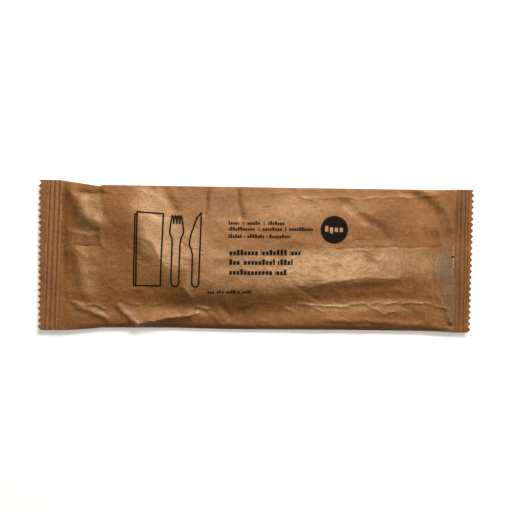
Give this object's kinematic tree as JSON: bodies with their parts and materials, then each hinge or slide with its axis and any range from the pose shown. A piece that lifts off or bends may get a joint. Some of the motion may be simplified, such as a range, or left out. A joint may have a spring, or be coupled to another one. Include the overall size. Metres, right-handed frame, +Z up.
{
  "type": "wooden cutlery pack",
  "caption": "Flat sealed kraft paper pack of wooden cutlery and a folded napkin, with crimped end seals cut to teeth and a seam down its back.",
  "frame": {"origin": "middle of the pack's footprint, on the surface it lies on, which is the lowest face of the back seam", "axes": "+X along the pack, from the end on the reader's left to the one on the right, +Y across it towards the top of the printed front, +Z up out of the printed front"},
  "size_m": [0.2186, 0.0734, 0.009],
  "materials": {
    "kraft_paper": "machine-glazed brown kraft paper, satin, creased, with black print"
  },
  "bodies": {
    "root": {"cutlery_pack": "kraft_paper"}
  },
  "joints": []
}
